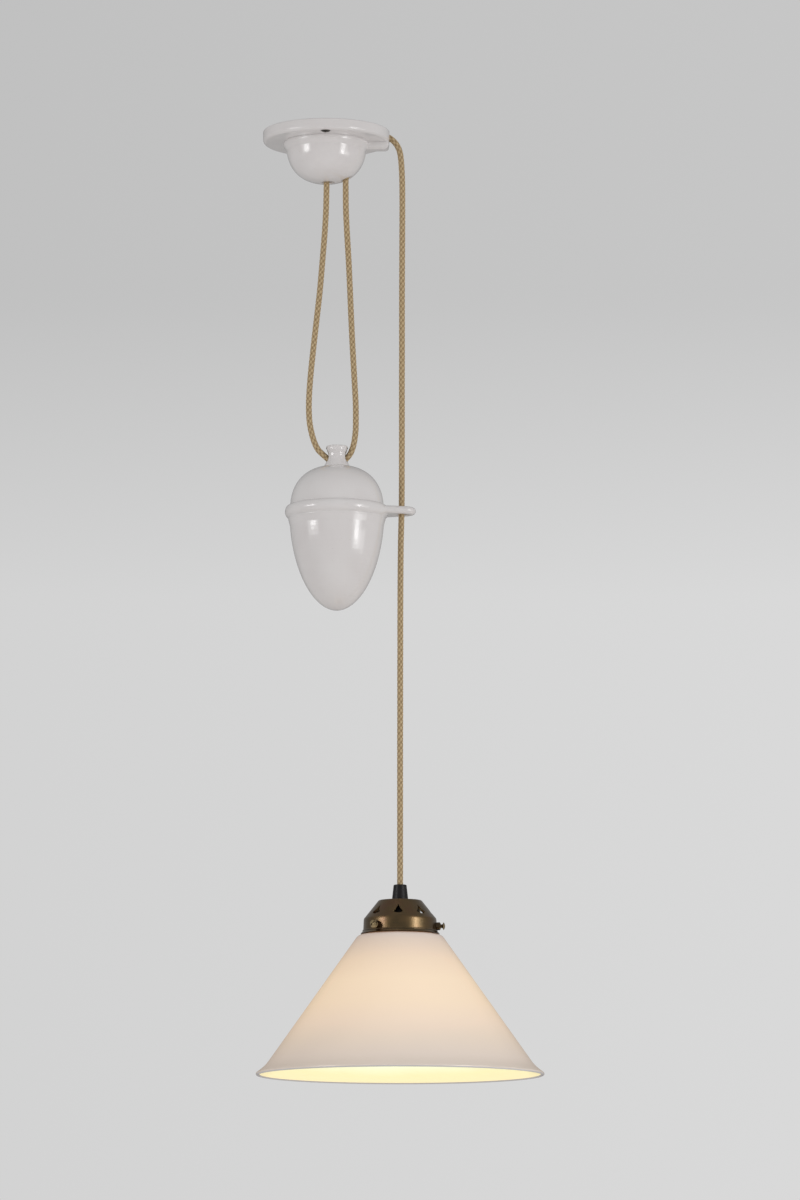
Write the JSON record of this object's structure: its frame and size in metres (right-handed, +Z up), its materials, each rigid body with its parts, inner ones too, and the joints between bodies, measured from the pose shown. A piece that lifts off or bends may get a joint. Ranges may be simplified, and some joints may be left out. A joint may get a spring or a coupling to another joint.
{
  "type": "rise and fall pendant",
  "caption": "Rise and fall pendant with a porcelain ceiling rose, an egg shaped porcelain counterweight in a loop of braided flex, and a flared opal glass shade.",
  "frame": {"origin": "middle of the ceiling rose's top face, on the ceiling", "axes": "+Z up, out of the face that lies on the ceiling; +X towards the lamp's flex; the front is towards -Y"},
  "size_m": [0.3, 0.3, 1.0035],
  "materials": {
    "porcelain": "gloss white glaze",
    "zinced_steel": "bright zinc",
    "bright_brass": "plain turned brass",
    "old_brass": "dark antique brass, lacquered",
    "ivory_plastic": "moulded",
    "black_plastic": "satin black",
    "clear_nylon": "natural nylon",
    "core_rubber": "wire insulation",
    "braided_flex": "round braid, gold beige",
    "cement": "matt plaster",
    "cast_iron": "as cast",
    "opal_glass": "opal white, gloss",
    "bulb_metal": "bright",
    "frosted_glass": "frosted",
    "clear_glass": "clear",
    "filament": "warm light strips"
  },
  "bodies": {
    "rose": {"rose_body": "porcelain", "chassis_plate": "zinced_steel", "chassis_inserts": "bright_brass", "chassis_screws": "zinced_steel", "pulley_axle": "zinced_steel", "axle_clip": "zinced_steel", "terminal_block": "ivory_plastic", "block_screw": "zinced_steel", "terminal_tubes": "bright_brass", "terminal_screws": "zinced_steel", "cord_clamp": "zinced_steel", "clamp_screws": "zinced_steel", "earth_screw": "bright_brass", "anchored_flex": "braided_flex", "anchored_cores": "core_rubber", "pulley_flex": "braided_flex", "fixed_strand": "braided_flex", "running_strand": "braided_flex"},
    "rose_pulley": {"rose_pulley": "bright_brass"},
    "counterweight": {"weight_cap": "porcelain", "joint_cement": "cement", "weight_body": "porcelain", "weight_ballast": "cast_iron", "roller_axle": "zinced_steel", "axle_plug": "cement", "roller_flex": "braided_flex"},
    "neck_roller": {"neck_roller": "bright_brass"},
    "lamp": {"drop_flex": "braided_flex", "cord_grip": "black_plastic", "grip_screw": "clear_nylon", "grip_washer": "old_brass", "nipple": "bright_brass", "gallery": "old_brass", "screw_bosses": "old_brass", "holder_cap": "black_plastic", "holder_insert": "porcelain", "holder_shell": "black_plastic", "holder_thread": "bright_brass", "centre_contact": "bright_brass", "side_contact": "bright_brass", "holder_screws": "zinced_steel", "holder_flex": "braided_flex", "holder_cores": "core_rubber", "shade": "opal_glass"},
    "thumb_screw_1": {"thumb_screw_1": "old_brass"},
    "thumb_screw_2": {"thumb_screw_2": "old_brass"},
    "thumb_screw_3": {"thumb_screw_3": "old_brass"},
    "bulb": {"bulb_cap": "bulb_metal", "bulb_contact": "black_plastic", "bulb_glass": "frosted_glass", "bulb_stem": "clear_glass", "bulb_filaments": "filament"}
  },
  "joints": [
    {"name": "lamp_slide", "type": "slide", "parent": "rose", "child": "lamp", "axis": [0, 0, 1], "range_m": [-0.53, 0.22], "deforming": ["drop_flex"]},
    {"name": "weight_slide", "type": "slide", "parent": "rose", "child": "counterweight", "axis": [0, 0, 1], "range_m": [-0.1102, 0.2652], "deforming": ["fixed_strand", "running_strand"]},
    {"name": "rose_pulley_spin", "type": "hinge", "parent": "rose", "child": "rose_pulley", "pos_m": [0.0309, 0, -0.0143], "axis": [0, 1, 0], "continuous": true},
    {"name": "neck_roller_spin", "type": "hinge", "parent": "counterweight", "child": "neck_roller", "pos_m": [0.0118, 0, -0.3493], "axis": [0, 1, 0], "continuous": true},
    {"name": "thumb_screw_1_travel", "type": "slide", "parent": "lamp", "child": "thumb_screw_1", "axis": [-0.6157, -0.788, 0], "range_m": [0, 0.006]},
    {"name": "thumb_screw_2_travel", "type": "slide", "parent": "lamp", "child": "thumb_screw_2", "axis": [0.9903, -0.1392, 0], "range_m": [0, 0.006]},
    {"name": "thumb_screw_3_travel", "type": "slide", "parent": "lamp", "child": "thumb_screw_3", "axis": [-0.3746, 0.9272, 0], "range_m": [0, 0.006]},
    {"name": "bulb_turn", "type": "hinge", "parent": "lamp", "child": "bulb", "pos_m": [0.0785, 0, -0.874], "axis": [0, 0, -1], "range_deg": [0, 1080]}
  ],
  "couplings": [
    {"joint": "weight_slide", "follows": "lamp_slide", "ratio": -0.5},
    {"joint": "rose_pulley_spin", "follows": "lamp_slide", "rad_per_m": -97.087},
    {"joint": "neck_roller_spin", "follows": "lamp_slide", "rad_per_m": 52.083}
  ]
}
